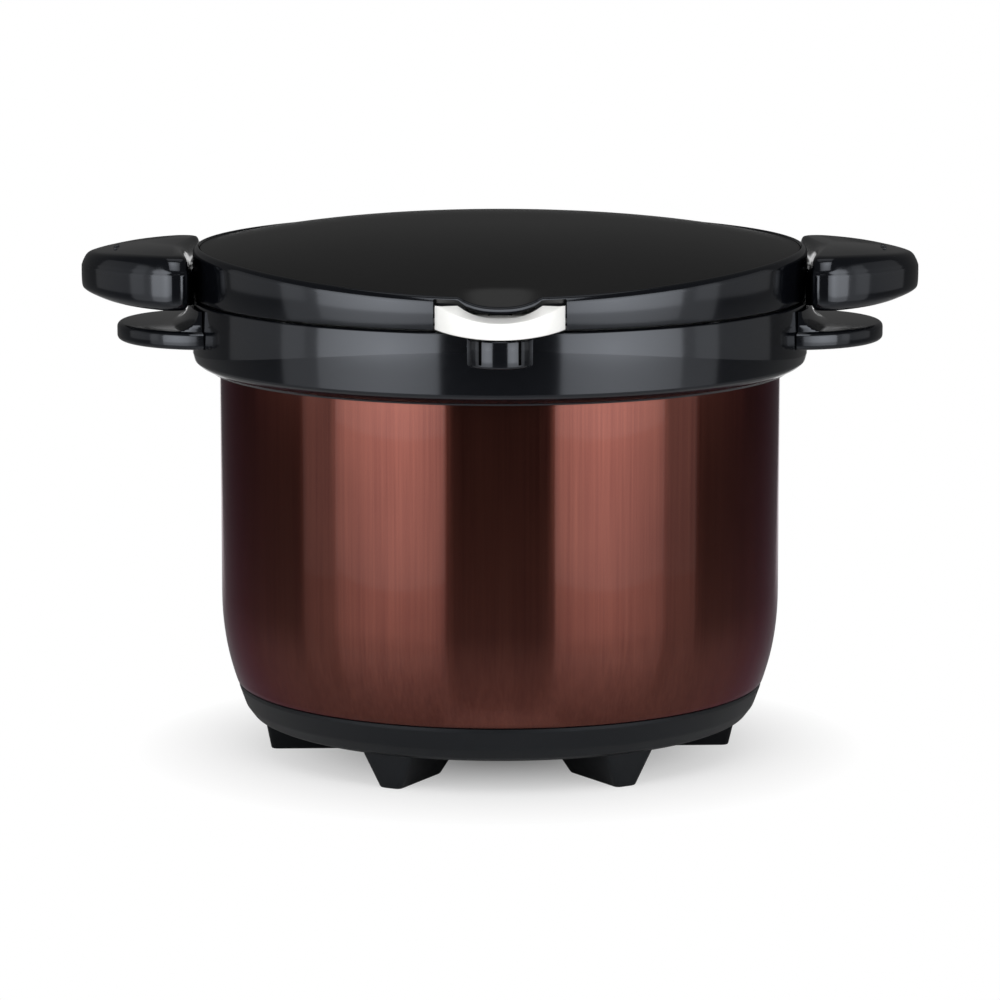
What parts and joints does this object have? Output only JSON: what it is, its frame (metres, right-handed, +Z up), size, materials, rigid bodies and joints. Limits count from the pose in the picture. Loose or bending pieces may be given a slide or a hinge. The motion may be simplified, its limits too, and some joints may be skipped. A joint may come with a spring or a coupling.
{
  "type": "thermal cooker",
  "caption": "Round vacuum-walled thermal cooker with a hinged, latched lid, side handles, and an inner steel pot with bail handles and a glass lid.",
  "frame": {"origin": "on the floor, under the container's axis", "axes": "+X across the handles to the right as seen from the latch, -Y towards the latch, +Z up"},
  "size_m": [0.3756, 0.304, 0.2402],
  "materials": {
    "brown_steel": "clear brown lacquer over polished steel",
    "steel": "satin",
    "aluminium": "machined",
    "gloss_black": "high gloss",
    "satin_black": "satin",
    "matt_black": "matt, fine grain",
    "white": "satin",
    "grey_plastic": "matt",
    "foam": "open foam",
    "silicone": "matt",
    "glass": "clear"
  },
  "bodies": {
    "container": {"outer_shell": "brown_steel", "inner_shell": "steel", "collar": "gloss_black", "base_cover": "matt_black", "base_bracket_ring": "steel", "vacuum_seal_cap": "steel", "base_screw_1": "steel", "base_screw_2": "steel", "base_screw_3": "steel", "body_handle_left": "gloss_black", "body_handle_right": "gloss_black", "body_handle_left_screw_1": "steel", "body_handle_left_screw_2": "steel", "body_handle_right_screw_1": "steel", "body_handle_right_screw_2": "steel", "latch_keeper": "gloss_black", "hinge_bracket": "matt_black", "hinge_pin": "steel", "hinge_screw_1": "steel", "hinge_screw_2": "steel"},
    "lid": {"lid_band": "gloss_black", "lid_cover": "satin_black", "lid_foam": "foam", "lid_inner_plate": "grey_plastic", "lid_gasket": "silicone", "lid_screw_1": "steel", "lid_screw_2": "steel", "lid_screw_3": "steel", "lid_screw_4": "steel", "lid_handle_left": "gloss_black", "lid_handle_right": "gloss_black", "lid_handle_left_screw_1": "steel", "lid_handle_left_screw_2": "steel", "lid_handle_right_screw_1": "steel", "lid_handle_right_screw_2": "steel", "lid_hinge_arm": "matt_black", "latch_pin": "steel", "latch_housing": "matt_black"},
    "latch": {"latch_lever": "white", "latch_hook": "gloss_black", "latch_spring": "steel"},
    "inner_pot": {"pot": "steel", "pot_base_disc": "aluminium", "pot_bracket_left": "steel", "pot_bracket_right": "steel"},
    "glass_lid": {"pot_lid_glass": "glass", "pot_lid_ring": "steel", "pot_lid_knob": "matt_black", "pot_lid_screw": "steel"},
    "left_bail": {"pot_bail_left": "steel", "pot_grip_left": "matt_black"},
    "right_bail": {"pot_bail_right": "steel", "pot_grip_right": "matt_black"}
  },
  "joints": [
    {"name": "lid_hinge", "type": "hinge", "parent": "container", "child": "lid", "pos_m": [0, 0.1462, 0.203], "axis": [-1, 0, 0], "range_deg": [0, 90]},
    {"name": "latch_hinge", "type": "hinge", "parent": "lid", "child": "latch", "pos_m": [0, -0.1285, 0.2105], "axis": [-1, 0, 0], "range_deg": [0, 15], "stiffness_Nm_per_rad": 0.3},
    {"name": "pot_lift", "type": "slide", "parent": "container", "child": "inner_pot", "axis": [0, 0, 1], "range_m": [0, 0.006]},
    {"name": "glass_lid_lift", "type": "slide", "parent": "inner_pot", "child": "glass_lid", "axis": [0, 0, 1], "range_m": [0, 0.003]},
    {"name": "left_bail_swing", "type": "hinge", "parent": "inner_pot", "child": "left_bail", "pos_m": [-0.1079, 0, 0.166], "axis": [0, -1, 0], "range_deg": [0, 12]},
    {"name": "right_bail_swing", "type": "hinge", "parent": "inner_pot", "child": "right_bail", "pos_m": [0.1079, 0, 0.166], "axis": [0, 1, 0], "range_deg": [0, 12]}
  ]
}
